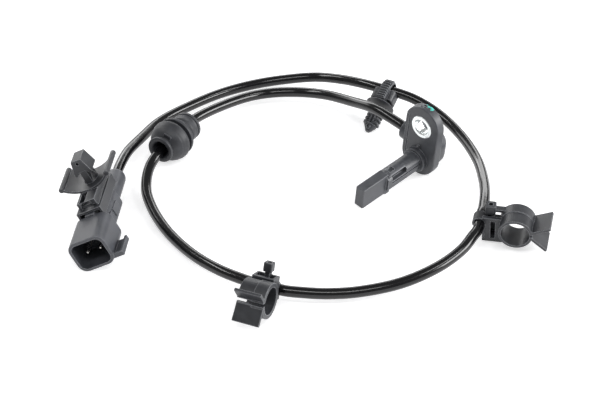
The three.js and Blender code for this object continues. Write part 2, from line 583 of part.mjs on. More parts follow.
// Where each group stands and how it is turned
function placed([x, y, z], { tilt = 0, roll = 0, heading = 0 }) {
  const group = new THREE.Group();
  group.position.set(x, y, z);
  group.rotation.set(rad(tilt), rad(roll), rad(heading), 'ZXY');
  return group;
}

const group = new THREE.Group();

// The head stands with the middle of its box over the origin
const head = placed([0, 0, 0], { roll: HEAD_ROLL });
head.rotation.x = restingTilt();
const bushing = piece('bolt_bushing', bolt_bushing(), zinc());
const housing = sensor_housing();
head.add(piece('sensor_housing', housing, plastic()), bushing);
group.add(head);
const headBox = new THREE.Box3().setFromObject(head, true);
const headCentre = headBox.getCenter(new THREE.Vector3());
head.position.set(-headCentre.x, -headCentre.y, -headBox.min.z);

const sealing = placed([...GROMMET_AT, GROMMET_HEIGHT], { heading: GROMMET_HEADING });
const frontClip = placed(FRONT_CLIP_AT, FRONT_CLIP_TURN);
const sideClip = placed(SIDE_CLIP_AT, SIDE_CLIP_TURN);
const firClip = placed(FIR_CLIP_AT, FIR_CLIP_TURN);
const connector = placed(CONNECTOR_AT, CONNECTOR_TURN);
group.add(sealing, frontClip, sideClip, firClip, connector);
group.updateMatrixWorld(true);

// Points on the lead: it runs straight through each piece on it and freely between them
const onY = (holder, x, z, ...distances) => distances.map((y) => holder.localToWorld(new THREE.Vector3(x, y, z)));
const exitDepth = EXIT_REACH - EXIT_SOCKET;
const fromHead = [exitDepth + FIT, EXIT_REACH + 2].map(
  (reach) => head.localToWorld(new THREE.Vector3(-reach, EXIT_SETBACK, -HOUSING_DROP)),
);
const free = (points) => points.map((p) => new THREE.Vector3(...p));
const TO_GROMMET = [
  [-32.3, 21.7, 17.2], [-49.2, 24.2, 13.2], [-67.3, 24.6, 9.4], [-81.8, 20, 6.8], [-91.6, 10.3, 6.2],
  [-95.6, -4.1, 7.4],
];
const TO_FRONT_CLIP = [
  [-85.5, -68.1, 7.6], [-82.7, -73.9, 6.2], [-78.2, -79.6, 4.8], [-72.3, -84.9, 3.6],
  [-64.8, -89.4, 2.9], [-54.1, -94.4, 2.6], [-39.9, -99.2, 2.6], [-21.8, -102.7, 3.2],
  [-6, -103.3, 4.2], [6, -101.6, 4.8], [12.5, -100, 5.1],
];
const TO_SIDE_CLIP = [
  [29.2, -92, 5.1], [37.1, -84.9, 4.7], [45.5, -74.9, 4.6], [55, -59.3, 5.6], [60.1, -42, 7.2],
  [60.5, -27, 8.5], [58.3, -17.5, 9.2],
];
const TO_FIR_TREE = [
  [49.1, 1, 10.2], [42.6, 10.3, 9.6], [33.4, 20.9, 8.2], [18.4, 34.6, 6.6], [-0.9, 45.9, 6.4],
  [-19.6, 51, 8.2], [-32.4, 49.1, 11.1],
];
const TO_CONNECTOR = [
  [-58.2, 42.2, 11.8], [-71, 41.2, 9.4], [-85, 37.6, 6.6], [-96.5, 28.3, 4.6], [-105.5, 15.1, 3.6],
  [-111.1, -1.3, 3.4], [-112.5, -21.2, 4], [-110.4, -42.4, 5.4], [-103.4, -60.5, 7.2],
  [-97, -74.1, 8.8],
];
const leadPoints = [
  ...fromHead,
  ...free(TO_GROMMET),
  ...onY(sealing, 0, 0, 32, 22, 12),
  ...free(TO_FRONT_CLIP),
  ...onY(frontClip, 0, 0, -4.5, 4.5),
  ...free(TO_SIDE_CLIP),
  ...onY(sideClip, 0, 0, -4.5, 4.5),
  ...free(TO_FIR_TREE),
  ...onY(firClip, 0, 0, -3, 3),
  ...free(TO_CONNECTOR),
  ...onY(connector, 0, 0, tailEnd + 6, tailEnd - TAIL_SOCKET + FIT),
];
const leadPath = new THREE.CatmullRomCurve3(leadPoints, false, 'centripetal');

function lead(radius) {
  const section = new THREE.Shape();
  for (let i = 0; i < CABLE_SIDES; i += 1) {
    const angle = (2 * Math.PI * (i + 0.5)) / CABLE_SIDES;
    section[i ? 'lineTo' : 'moveTo'](radius * Math.cos(angle), radius * Math.sin(angle));
  }
  return new THREE.ExtrudeGeometry(section, { steps: CABLE_STEPS, extrudePath: leadPath, curveSegments: 1 });
}

// The room that the lead takes in a piece, seen from that piece's own frame
const bored = lead(CABLE_DIAMETER / 2 + FIT);
const roomIn = (holder) => solid(bored.clone().applyMatrix4(holder.matrixWorld.clone().invert()));

head.remove(head.getObjectByName('sensor_housing'));
const exitBore = rodX(CABLE_DIAMETER / 2 + FIT, -EXIT_REACH - 1, EXIT_SOCKET + 1, EXIT_SETBACK, -HOUSING_DROP, 24);
head.add(piece('sensor_housing', cut(housing, exitBore, roomIn(head)), plastic()));
group.add(piece('cable', solid(lead(CABLE_DIAMETER / 2)), jacket()));
sealing.add(piece('grommet', cut(grommet(), roomIn(sealing)), rubber()));
frontClip.add(piece('hose_clip_front', hoseClipFront(roomIn(frontClip)), plastic()));
sideClip.add(piece('hose_clip_side', hoseClipSide(roomIn(sideClip)), plastic()));
firClip.add(piece('fir_tree_clip', firTreeClip(roomIn(firClip)), plastic()));
connector.add(
  piece('connector_body', connector_body(roomIn(connector)), plastic()),
  piece('contact_pin_left', contact_pin(-1), tin()),
  piece('contact_pin_right', contact_pin(1), tin()),
  piece('connector_clip', connector_clip(), plastic()),
);

export default group;
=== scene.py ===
"""A wheel speed sensor with its moulded-on lead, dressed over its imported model. Metres, +Z up."""

import math

import bmesh
import bpy
from mathutils import Matrix, Vector


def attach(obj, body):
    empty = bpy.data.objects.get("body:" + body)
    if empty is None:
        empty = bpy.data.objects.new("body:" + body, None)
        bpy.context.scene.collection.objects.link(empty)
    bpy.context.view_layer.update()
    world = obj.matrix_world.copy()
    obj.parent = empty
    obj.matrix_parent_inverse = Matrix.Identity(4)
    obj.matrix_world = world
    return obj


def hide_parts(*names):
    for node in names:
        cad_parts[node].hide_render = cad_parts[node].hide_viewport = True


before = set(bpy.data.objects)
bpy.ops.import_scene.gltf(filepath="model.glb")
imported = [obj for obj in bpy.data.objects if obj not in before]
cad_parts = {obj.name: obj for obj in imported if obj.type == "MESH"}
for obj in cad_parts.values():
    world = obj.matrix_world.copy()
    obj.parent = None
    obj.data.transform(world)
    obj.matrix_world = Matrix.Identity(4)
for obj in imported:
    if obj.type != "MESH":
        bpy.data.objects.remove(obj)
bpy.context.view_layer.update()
scene = bpy.context.scene
scene.view_settings.view_transform = "Standard"

# Camera. It looks down at the lead's loop from the plug's end, with the long lens of a product
# picture, so that the loop fills the frame.
CAMERA_AIM = Vector((-0.022595, -0.038318, 0.0))
CAMERA_AZIMUTH = math.radians(44)
CAMERA_ELEVATION = math.radians(34)
CAMERA_DISTANCE = 0.7512
CAMERA_LENS = 101.4

away = Vector((
    math.sin(CAMERA_AZIMUTH) * math.cos(CAMERA_ELEVATION),
    -math.cos(CAMERA_AZIMUTH) * math.cos(CAMERA_ELEVATION),
    math.sin(CAMERA_ELEVATION),
))
lens = bpy.data.cameras.new("camera")
lens.lens = CAMERA_LENS
lens.sensor_width = 36
camera = bpy.data.objects.new("camera", lens)
camera.location = CAMERA_AIM + away * CAMERA_DISTANCE
camera.rotation_mode = "QUATERNION"
camera.rotation_quaternion = (-away).to_track_quat("-Z", "Y")
scene.collection.objects.link(camera)
scene.camera = camera

# Sensor head: flange, domed back, lead exit, neck and blade in one shot of glass-filled nylon.
# The mould leaves a satin face, rounded rims, a recessed strip beside the face, and on the neck
# a pocket and a groove. The flange's top rim carries an engraved mark and a dab of teal paint.
HEAD_AT = (3.3948, 12.5015, 26.5223)
HEAD_TILT = 4.277
HEAD_ROLL = 9
FLANGE_RADIUS = 9.5
FLANGE_TOP = 10.1
FLANGE_FOOT = -26.9
FLANGE_THICKNESS = 4.4
SEAT_RADIUS = 5.4
SCREW_ROOM = 7.4
BACK_HALF_WIDTH = 9.4
BACK_REACH = 10.8
BACK_CORNER = 6.5
DOME_ROUND = 4.6
EXIT_REACH = 13.7
EXIT_DROP = -13
EXIT_SETBACK = 6.8
EXIT_RADIUS = 4.9
PROBE_DROP = -18.4
COLLAR_RADIUS = 5.9
NECK_RADIUS = 4.65
NECK_FLAT = 3.7
NECK_LENGTH = 22.7
BLADE_LENGTH = 16
BLADE_HALF_WIDTH = 2.45
BLADE_HALF_HEIGHT = 5.3
LEAD_RADIUS = 2.4
LEAD_PLAY = 0.05
NYLON_COLOUR = "#3b3d41"
NYLON_PALE = "#4a4c51"
# Pale edge colour: partly rubbed wear, partly a painted highlight along rounded edges
WORN_AND_HIGHLIT_EDGE = "#a3a5aa"
PAINT_COLOUR = "#55cabc"
PAINT_DABS = (
    ((-1.1, 4.3, 10.1), 0.65),
    ((0.2, 3.4, 10.1), 0.6),
    ((1.5, 3.9, 10.0), 0.95),
    ((2.4, 3.0, 9.8), 0.6),
)


def placed(at, tilt=0.0, roll=0.0, heading=0.0):
    """The place of a piece drawn in millimetres: rolled, tilted, turned and set down."""
    turn = Matrix.Rotation(math.radians(heading), 4, "Z")
    lean = Matrix.Rotation(math.radians(tilt), 4, "X") @ Matrix.Rotation(math.radians(roll), 4, "Y")
    return Matrix.Scale(0.001, 4) @ Matrix.Translation(at) @ turn @ lean


def round_off(bm, edges, radius, bends=3):
    bmesh.ops.bevel(
        bm, geom=list(edges), offset=radius, offset_type="OFFSET", segments=bends,
        profile=0.5, affect="EDGES", clamp_overlap=True, material=-1,
    )


def block(low, high, corner=0.0, along=1, edge=0.0, bends=8):
    """A block between two corners. Its long edges are rounded by corner, and its rims by edge."""
    bm = bmesh.new()
    low, high = Vector(low), Vector(high)
    bmesh.ops.create_cube(bm, size=1)
    bmesh.ops.scale(bm, vec=high - low, verts=bm.verts)
    bmesh.ops.translate(bm, vec=(low + high) / 2, verts=bm.verts)
    if corner:
        runs = [e for e in bm.edges if abs((e.verts[0].co - e.verts[1].co)[along]) > 1e-6]
        round_off(bm, runs, corner, bends)
    if edge:
        ends = [f for f in bm.faces if abs(f.normal[along]) > 0.99]
        rims = {e for f in ends for e in f.edges} if corner else set(bm.edges)
        round_off(bm, rims, edge)
    return bm


def rod(start, end, radius, end_radius=None, edge=0.0, sides=64):
    """A round rod or cone between two points, with its two rims rounded by edge."""
    bm = bmesh.new()
    start, end = Vector(start), Vector(end)
    line = end - start
    turn = line.to_track_quat("Z", "Y").to_matrix().to_4x4()
    place = Matrix.Translation((start + end) / 2) @ turn
    bmesh.ops.create_cone(
        bm, cap_ends=True, segments=sides, radius1=radius,
        radius2=radius if end_radius is None else end_radius, depth=line.length, matrix=place,
    )
    if edge:
        ends = [f for f in bm.faces if abs(f.normal.dot(line.normalized())) > 0.99]
        round_off(bm, {e for f in ends for e in f.edges}, edge)
    return bm


def as_object(bm, name="shape"):
    mesh = bpy.data.meshes.new(name)
    bmesh.ops.recalc_face_normals(bm, faces=bm.faces)
    bm.to_mesh(mesh)
    bm.free()
    made = bpy.data.objects.new(name, mesh)
    scene.collection.objects.link(made)
    return made


def applied(made):
    """The mesh that the object's modifiers give takes the place of its own."""
    bpy.context.view_layer.update()
    shown = made.evaluated_get(bpy.context.evaluated_depsgraph_get())
    made.data = bpy.data.meshes.new_from_object(shown)
    made.modifiers.clear()


def moulding(name, shapes, rooms=()):
    """Shapes joined into one moulding, with the rooms cut out of it."""
    whole = as_object(shapes[0], name)
    steps = [("UNION", bm) for bm in shapes[1:]] + [("DIFFERENCE", bm) for bm in rooms]
    for operation, bm in steps:
        tool = as_object(bm)
        step = whole.modifiers.new(operation, "BOOLEAN")
        step.operation = operation
        step.solver = "EXACT"
        step.object = tool
        applied(whole)
        bpy.data.objects.remove(tool)
    return whole


def as_shape(made):
    """A finished step as a shape again, so that it joins the next moulding."""
    bm = bmesh.new()
    bm.from_mesh(made.data)
    bpy.data.objects.remove(made)
    return bm


def finished(made, place, material, nodes, crease=32):
    """Sets a piece in its place with creases and finish, and lets it stand for its nodes."""
    made.data.transform(place)
    made.data.materials.clear()
    made.data.materials.append(material)
    for face in made.data.polygons:
        face.use_smooth = True
    made.data.set_sharp_from_angle(angle=math.radians(crease))
    even = made.modifiers.new("even", "WEIGHTED_NORMAL")
    even.keep_sharp = True
    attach(made, "root")
    if nodes:
        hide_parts(*nodes)
    return made


def linear(colour):
    """A hex sRGB colour as the linear values that the shaders take."""
    parts = [int(colour[i:i + 2], 16) / 255 for i in (1, 3, 5)]
    return [p / 12.92 if p <= 0.04045 else ((p + 0.055) / 1.055) ** 2.4 for p in parts] + [1.0]


def add_node(tree, kind, settings, links=None):
    """Adds one node: settings are its properties and input values, links its incoming sockets."""
    made = tree.nodes.new(kind)
    for name, value in settings.items():
        if isinstance(name, int) or name in made.inputs:
            made.inputs[name].default_value = value
        else:
            setattr(made, name, value)
    for name, source in (links or {}).items():
        tree.links.new(source, made.inputs[name])
    return made


def new_material(name, settings):
    """A new material, its node tree and its shader, whose input values are the settings."""
    material = bpy.data.materials.new(name)
    material.use_nodes = True
    shader = material.node_tree.nodes["Principled BSDF"]
    for key, value in settings.items():
        shader.inputs[key].default_value = value
    return material, material.node_tree, shader


def moulded_plastic(name, colour, pale, roughness, grain, edge_rub_and_highlight=0.75):
    """Satin moulded plastic with its mould grain in mm, and edges paled by wear and painted
    highlight.
    """
    material, tree, shader = new_material(name, {"IOR": 1.53})
    place = add_node(tree, "ShaderNodeTexCoord", {}).outputs["Object"]
    # Flow clouds about 5 mm across, from the fibres and pigment near the skin
    clouds = add_node(
        tree, "ShaderNodeTexNoise", {"Scale": 1 / 0.005, "Detail": 5.0, "Roughness": 0.62},
        {"Vector": place},
    ).outputs["Fac"]
    tint = add_node(tree, "ShaderNodeValToRGB", {}, {"Fac": clouds})
    tint.color_ramp.elements[0].position = 0.34
    tint.color_ramp.elements[0].color = linear(colour)
    tint.color_ramp.elements[1].position = 0.7
    tint.color_ramp.elements[1].color = linear(pale)
    # Edges pale with wear and a painted highlight, where a rounded edge's normal leaves the face's
    # own
    rounded = add_node(tree, "ShaderNodeBevel", {"samples": 4, "Radius": 0.0005}).outputs["Normal"]
    own = add_node(tree, "ShaderNodeNewGeometry", {}).outputs["Normal"]
    agree = add_node(
        tree, "ShaderNodeVectorMath", {"operation": "DOT_PRODUCT"}, {0: rounded, 1: own}
    ).outputs["Value"]
    edge = add_node(
        tree, "ShaderNodeMapRange",
        {"From Min": 0.86, "From Max": 0.995, "To Min": edge_rub_and_highlight, "To Max": 0.0},
        {"Value": agree},
    ).outputs["Result"]
    worn_and_highlit = add_node(
        tree, "ShaderNodeMixRGB", {"Color2": linear(WORN_AND_HIGHLIT_EDGE)},
        {"Fac": edge, "Color1": tint.outputs["Color"]},
    )
    tree.links.new(worn_and_highlit.outputs["Color"], shader.inputs["Base Color"])
    sheen = add_node(
        tree, "ShaderNodeMapRange",
        {"From Min": 0.3, "From Max": 0.7, "To Min": roughness - 0.07, "To Max": roughness + 0.07},
        {"Value": clouds},
    )
    tree.links.new(sheen.outputs["Result"], shader.inputs["Roughness"])
    # The spark-eroded mould's grain, a little coarser than life so that it shows
    texture = add_node(
        tree, "ShaderNodeTexNoise", {"Scale": 1000 / grain, "Detail": 3.0}, {"Vector": place}
    ).outputs["Fac"]
    bump = add_node(
        tree, "ShaderNodeBump", {"Strength": 0.35, "Distance": 0.00005}, {"Height": texture}
    )
    tree.links.new(bump.outputs["Normal"], shader.inputs["Normal"])
    return material


def dab_paint(material, colour, dabs, place):
    """Dabs of paint brushed over a material, each with its middle and its radius in millimetres."""
    tree = material.node_tree
    shader = tree.nodes["Principled BSDF"]
    here = add_node(tree, "ShaderNodeTexCoord", {}).outputs["Object"]
    ragged = add_node(
        tree, "ShaderNodeTexNoise", {"Scale": 1 / 0.0009, "Detail": 2.0}, {"Vector": here}
    )
    for middle, radius in dabs:
        far = add_node(
            tree, "ShaderNodeVectorMath", {"operation": "DISTANCE", 1: place @ Vector(middle)},
            {0: here},
        ).outputs["Value"]
        frayed = add_node(
            tree, "ShaderNodeMath", {"operation": "MULTIPLY_ADD", 1: 0.0016},
            {0: ragged.outputs["Fac"], 2: far},
        ).outputs["Value"]
        rim = radius / 1000
        cover = add_node(
            tree, "ShaderNodeMapRange",
            {"From Min": 0.0007 + rim, "From Max": 0.0009 + rim, "To Min": 1.0, "To Max": 0.0},
            {"Value": frayed},
        ).outputs["Result"]
        under = shader.inputs["Base Color"].links[0].from_socket
        coat = add_node(
            tree, "ShaderNodeMixRGB", {"Color2": linear(colour)}, {"Fac": cover, "Color1": under}
        )
        tree.links.new(coat.outputs["Color"], shader.inputs["Base Color"])


head_place = placed(HEAD_AT, HEAD_TILT, HEAD_ROLL)
nylon = moulded_plastic("glass_filled_nylon", NYLON_COLOUR, NYLON_PALE, 0.42, 0.5)
dab_paint(nylon, PAINT_COLOUR, PAINT_DABS, head_place)
flange = block(
    (-FLANGE_RADIUS, 0, FLANGE_FOOT), (FLANGE_RADIUS, FLANGE_THICKNESS, FLANGE_TOP),
    corner=FLANGE_RADIUS - 0.1, edge=0.55, bends=20,
)
back = block(
    (-BACK_HALF_WIDTH, 1, EXIT_DROP - 8.6), (BACK_HALF_WIDTH, BACK_REACH, EXIT_DROP + 9.5),
    corner=BACK_CORNER,
)
dome = [f for f in back.faces if f.normal.y > 0.99]
round_off(back, {e for f in dome for e in f.edges}, DOME_ROUND, 6)
back_half = as_shape(moulding("back_half", [back], [
    rod((0, FLANGE_THICKNESS, 0), (0, 12, 0), SCREW_ROOM, edge=0.3),
]))
neck = as_shape(moulding("neck", [
    rod((0, -NECK_LENGTH - 1, PROBE_DROP), (0, 1, PROBE_DROP), NECK_RADIUS, edge=0.2),
], [
    block((NECK_FLAT, -30, PROBE_DROP - 9), (8, 5, PROBE_DROP + 9)),
    block((-8, -30, PROBE_DROP - 9), (-NECK_FLAT, 5, PROBE_DROP + 9)),
    # Pocket and groove on the right flat, and a slot on top
    block((1.7, 1.6 - NECK_LENGTH, PROBE_DROP + 1.1),
          (6, 11.2 - NECK_LENGTH, PROBE_DROP + 3.8), edge=0.25),
    block((2.3, 1.6 - NECK_LENGTH, PROBE_DROP - 0.4), (6, -0.8, PROBE_DROP + 0.5)),
    block((-1.4, 2.4 - NECK_LENGTH, PROBE_DROP + 3.8),
          (1.2, 5.6 - NECK_LENGTH, PROBE_DROP + 6), edge=0.3),
]))
# Engraved mark on the flange's top rim
strokes = [
    block((-3.3, 1.2, 9.0), (-2.2, 2.0, 11)),
    block((-2.4, 2.6, 9.0), (-0.6, 3.4, 11)),
    block((-1.2, 1.2, 9.2), (-0.5, 2.2, 11)),
    block((0.2, 2.3, 9.3), (1.6, 2.9, 11)),
]
head = moulding("head", [
    flange,
    back_half,
    rod((-EXIT_REACH, EXIT_SETBACK, EXIT_DROP), (0, EXIT_SETBACK, EXIT_DROP),
        EXIT_RADIUS, edge=0.7),
    rod((0, -2.4, PROBE_DROP), (0, 1, PROBE_DROP), COLLAR_RADIUS, edge=0.5),
    neck,
    block((-BLADE_HALF_WIDTH, -NECK_LENGTH - BLADE_LENGTH, PROBE_DROP - BLADE_HALF_HEIGHT),
          (BLADE_HALF_WIDTH, -NECK_LENGTH, PROBE_DROP + BLADE_HALF_HEIGHT),
          corner=0.45, edge=0.35, bends=3),
    # Pads at the blade's root
    block((-2.75, -NECK_LENGTH - 1.3, PROBE_DROP - 4.3),
          (2.75, -NECK_LENGTH, PROBE_DROP + 4.3), edge=0.2),
    block((1.05, -NECK_LENGTH - 1.4, PROBE_DROP - 5.6),
          (2.75, -NECK_LENGTH + 1.4, PROBE_DROP - 3.9), edge=0.2),
    block((0.6, -NECK_LENGTH - 0.4, PROBE_DROP + 3.4),
          (3.3, -NECK_LENGTH + 1.2, PROBE_DROP + 5.1), edge=0.3),
    rod((0, -1, PROBE_DROP + 7.3), (0, 1, PROBE_DROP + 7.3), 0.7, edge=0.3, sides=24),
], [
    # Recessed strip and line beside the face, and a notch in the rim
    block((-FLANGE_RADIUS - 1, -1, FLANGE_FOOT), (-FLANGE_RADIUS + 1.9, 0.7, 3), edge=0.15),
    block((-7.3, -1, -20), (-6.9, 0.9, 3)),
    block((6.4, 3.3, -24.6), (9.5, 4.7, -20.4)),
    *strokes,
    rod((0, -1, 0), (0, 6, 0), SEAT_RADIUS),
    rod((-EXIT_REACH - 1, EXIT_SETBACK, EXIT_DROP), (-EXIT_REACH + 3, EXIT_SETBACK, EXIT_DROP),
        LEAD_RADIUS + 2 * LEAD_PLAY),
])
finished(head, head_place, nylon, ["sensor_housing"])

# Compression bushing: a turned steel sleeve, zinc plated, that the flange is moulded round. Its
# face is chamfered into the bore, and the lathe's fine rings still show in the plating.
BUSHING_RADIUS = 5.5
BUSHING_BORE = 3.4
BUSHING_PROUD = 0.25


def turned(section, steps=72, closed=True):
    """A shape turned about y from its section of radii and distances."""
    bm = bmesh.new()
    points = [bm.verts.new((radius, along, 0)) for radius, along in section]
    pairs = list(zip(points, points[1:])) + ([(points[-1], points[0])] if closed else [])
    edges = [bm.edges.new(pair) for pair in pairs]
    bmesh.ops.spin(
        bm, geom=points + edges, cent=(0, 0, 0), axis=(0, 1, 0), angle=math.tau, steps=steps,
        use_merge=True,
    )
    bmesh.ops.remove_doubles(bm, verts=bm.verts, dist=1e-4)
    return bm


zinc, zinc_tree, zinc_shader = new_material("zinc_plated_steel", {
    "Metallic": 1.0, "Base Color": linear("#f4f8f8"),
})
from_axis = add_node(
    zinc_tree, "ShaderNodeAttribute", {"attribute_name": "from_axis"}
).outputs["Fac"]
# Lathe rings 0.6 mm apart, far coarser than life, so that they show
rings = add_node(
    zinc_tree, "ShaderNodeMath", {"operation": "PINGPONG", 1: 0.3}, {0: from_axis}
).outputs["Value"]
turning = add_node(
    zinc_tree, "ShaderNodeBump", {"Strength": 0.2, "Distance": 0.00004}, {"Height": rings}
)
zinc_tree.links.new(turning.outputs["Normal"], zinc_shader.inputs["Normal"])
zinc_place = add_node(zinc_tree, "ShaderNodeTexCoord", {}).outputs["Object"]
# Scuffs about 2 mm across
scuffs = add_node(
    zinc_tree, "ShaderNodeTexNoise", {"Scale": 1 / 0.002, "Detail": 4.0, "Roughness": 0.7},
    {"Vector": zinc_place},
).outputs["Fac"]
dulled = add_node(
    zinc_tree, "ShaderNodeMapRange",
    {"From Min": 0.35, "From Max": 0.65, "To Min": 0.24, "To Max": 0.34},
    {"Value": scuffs},
)
zinc_tree.links.new(dulled.outputs["Result"], zinc_shader.inputs["Roughness"])
bushing = as_object(turned([
    (BUSHING_BORE + 0.6, -BUSHING_PROUD),
    (BUSHING_RADIUS - 0.25, -BUSHING_PROUD),
    (BUSHING_RADIUS, 0),
    (BUSHING_RADIUS, FLANGE_THICKNESS),
    (BUSHING_RADIUS - 0.25, FLANGE_THICKNESS + BUSHING_PROUD),
    (BUSHING_BORE + 0.5, FLANGE_THICKNESS + BUSHING_PROUD),
    (BUSHING_BORE, FLANGE_THICKNESS - BUSHING_PROUD),
    (BUSHING_BORE, 0.35),
], steps=96), "bushing")
from_middle = bushing.data.attributes.new("from_axis", "FLOAT", "POINT")
for vertex in bushing.data.vertices:
    from_middle.data[vertex.index].value = math.hypot(vertex.co.x, vertex.co.z)
finished(bushing, head_place, zinc, ["bolt_bushing"], crease=25)

# Grommet: black EPDM rubber, moulded as one bellows. A soft collar and dome face the loop's
# front, a groove takes the edge of the panel's hole, and a ringed tail grips the lead.
GROMMET_AT = (-86.4, -63.9, 9.75)
GROMMET_HEADING = 15.7
bellows = turned([
    # Collar
    (6.2, 0.3), (6.3, 0.9), (6.1, 1.5), (5.4, 2.1), (4.9, 2.5), (5.2, 3.0), (6.6, 3.7), (7.6, 4.6),
    # Dome
    (8.1, 5.4), (8.5, 5.9), (8.6, 6.3), (8.75, 6.7), (9.1, 7.3), (9.2, 7.8), (9.35, 8.3),
    (9.65, 9.3), (9.7, 10.1), (9.4, 10.7),
    # Groove and flange
    (7.1, 10.9), (6.7, 11.3), (6.7, 12.9), (7.2, 13.1), (9.0, 13.2), (9.2, 13.5), (9.2, 14.2),
    (9.0, 14.7), (8.2, 15.7), (7.2, 16.6), (6.5, 17.4), (6.4, 18.0),
    # Ringed tail
    (6.8, 18.5), (6.9, 19.3), (6.7, 20.2), (6.6, 21.6), (6.75, 22.2), (6.1, 22.7), (6.1, 23.3),
    (6.7, 23.7), (6.7, 24.7), (6.2, 25.1), (5.4, 25.2),
    # Bore and mouth
    (2.45, 25.2), (2.45, 5.6), (3.3, 3.6), (3.7, 1.2), (4.2, 0.4), (5.2, 0.0), (5.9, 0.05),
], steps=96)
mould_mark = block((-1.9, 3.0, 5.4), (1.9, 3.9, 7.3), edge=0.2)
mould_mark.transform(Matrix.Rotation(math.radians(20), 4, "Y"))
grommet = moulding("bellows_grommet", [bellows, mould_mark])
# Its edges pale a little, partly as wear and partly as a painted highlight
rubber = moulded_plastic("epdm_rubber", "#28292d", "#35373c", 0.5, 0.7, edge_rub_and_highlight=0.25)
grommet_place = placed(GROMMET_AT, heading=GROMMET_HEADING)
finished(grommet, grommet_place, rubber, ["grommet"], crease=40)

# Hose clips: two near-black nylon mouldings on the lead. Each has a thin sleeve with a latch knob
# round the lead, and an open ring with fish-tail lips that snaps over the brake hose.
LIP_THICKNESS = 1.3
MOUTH_GAP = 1.5
SLEEVE_RADIUS = 3.1
FRONT_CLIP = placed((19.8, -97.2, 5.2), roll=-19.2, heading=-69.5)
SIDE_CLIP = placed((54.2, -7.8, 9.9), tilt=7, roll=-1.4, heading=31)
# Ring: offset from the lead, bore, wall, height of its raised band, start and end
FRONT_RING = (15.8, 5.7, 1.4, 0.4, -6.7, 5.1)
SIDE_RING = (15.85, 6.1, 1.2, 0.3, -5.8, 5.8)
# Sleeve: start and end
FRONT_SLEEVE = (-5.2, 1.4)
SIDE_SLEEVE = (-1.2, 4)
# Latch: x, y, height and size of its knob
FRONT_LATCH = (4.8, -1.7, 10.1, 3.9)
SIDE_LATCH = (4.3, 3.35, 5.6, 4.4)
# Lips: length and angle of each
FRONT_LIPS = ((6, 41), (7.7, -68))
SIDE_LIPS = ((8.7, 23), (8.9, -41))


def lip(root, start, end, length, angle):
    """A lip of the ring's mouth, swung out from its root."""
    side = math.copysign((MOUTH_GAP + LIP_THICKNESS) / 2, angle)
    bm = block((0, start, -LIP_THICKNESS / 2), (length, end, LIP_THICKNESS / 2), edge=0.25)
    swing = Matrix.Rotation(-math.radians(angle), 4, "Y")
    bm.transform(Matrix.Translation((root, 0, side)) @ swing)
    return bm


def hose_clip(name, ring, sleeve, latch, lips, body, rooms):
    """The open ring, the sleeve and the latch that both clips share, with each one's own body."""
    offset, bore, wall, band, start, end = ring
    x, y, height, size = latch
    outer = bore + wall
    half = size / 2
    open_ring = as_shape(moulding("open_ring", [
        rod((offset, start, 0), (offset, end, 0), outer, edge=0.25, sides=96),
        rod((offset, (start + end) / 2 + 0.6, 0), (offset, end, 0), outer + band,
            edge=0.2, sides=96),
        rod((0, sleeve[0], 0), (0, sleeve[1], 0), SLEEVE_RADIUS, edge=0.15),
        block((x - 1.2, y - 1.2, 0), (x + 1.2, y + 1.2, height - half + 1)),
        block((x - half, y - half, height - half), (x + half, y + half, height + half),
              corner=0.7, along=2, edge=0.4, bends=4),
        *body,
    ], [
        rod((offset, start - 1, 0), (offset, end + 1, 0), bore, sides=96),
        block((offset, start - 1, -MOUTH_GAP / 2),
              (offset + outer + band + 1, end + 1, MOUTH_GAP / 2)),
    ]))
    return moulding(name, [
        open_ring,
        *[lip(offset + bore + wall / 2, start, end, length, angle) for length, angle in lips],
    ], [
        *rooms,
        rod((x, y, height), (x, y, height + size), 1, sides=24),
        rod((0, sleeve[0] - 6, 0), (0, sleeve[1] + 6, 0), LEAD_RADIUS + LEAD_PLAY),
    ])


black_nylon = moulded_plastic("black_nylon", "#2a2b2f", "#36383c", 0.42, 0.6)
front_clip = hose_clip(
    "front_clip", FRONT_RING, FRONT_SLEEVE, FRONT_LATCH, FRONT_LIPS, [
        block((0, -5.6, -4.2), (11, 2.6, 3), edge=0.3),
        block((4.1, -6.5, 0), (10.4, 3.4, 7.1), edge=0.3),
    ], [
        block((6, -5.4, 1.8), (9.3, 2.3, 8)),
        block((5.2, -5.4, 1.8), (6.1, -2.7, 8)),
        block((5.2, -0.7, 1.8), (6.1, 2.3, 8)),
        block((4.1, -6.6, -2.8), (6.1, 3.6, 0.4)),
    ],
)
finished(front_clip, FRONT_CLIP, black_nylon, ["hose_clip_front"])
side_clip = hose_clip(
    "side_clip", SIDE_RING, SIDE_SLEEVE, SIDE_LATCH, SIDE_LIPS, [
        block((1.2, -1.2, -9.3), (10, 0.8, 3.4), edge=0.3),
        block((1.2, -1.2, -9.3), (10, 5.4, -7.8), edge=0.3),
        block((1.2, -1.2, -9.3), (2.7, 5.4, -1), edge=0.3),
        block((1.2, 4.4, -9.3), (10, 5.4, 0.8), edge=0.3),
        block((4.3, 2.4, 4.3), (11.5, 5.4, 5.6), edge=0.2),
    ], [
        block((4.8, -2.2, -7.3), (6.8, 1.8, 1.9)),
    ],
)
finished(side_clip, SIDE_CLIP, black_nylon, ["hose_clip_side"])

# Fir-tree clip: a nylon strap with cross ribs is pulled tight round the lead and locked in its
# buckle. Below it are a dished sealing disc and a finned stud that is pushed into a body hole.
FIR_CLIP = placed((-44.3, 44.5, 12.8), roll=61.8, heading=105.6)
STRAP_RADIUS = 4.2
STRAP_RIBS = 9
FIRST_RIB_ANGLE = -95
RIB_STEP_ANGLE = 20
RUN_RIBS = 6
RUN_RIB_STEP = 1.25
DISC_TOP = -8.6
STUD_TOP = -9.7
STUD_FOOT = -24.3
FINS = 5
FIN_STEP = 2.1

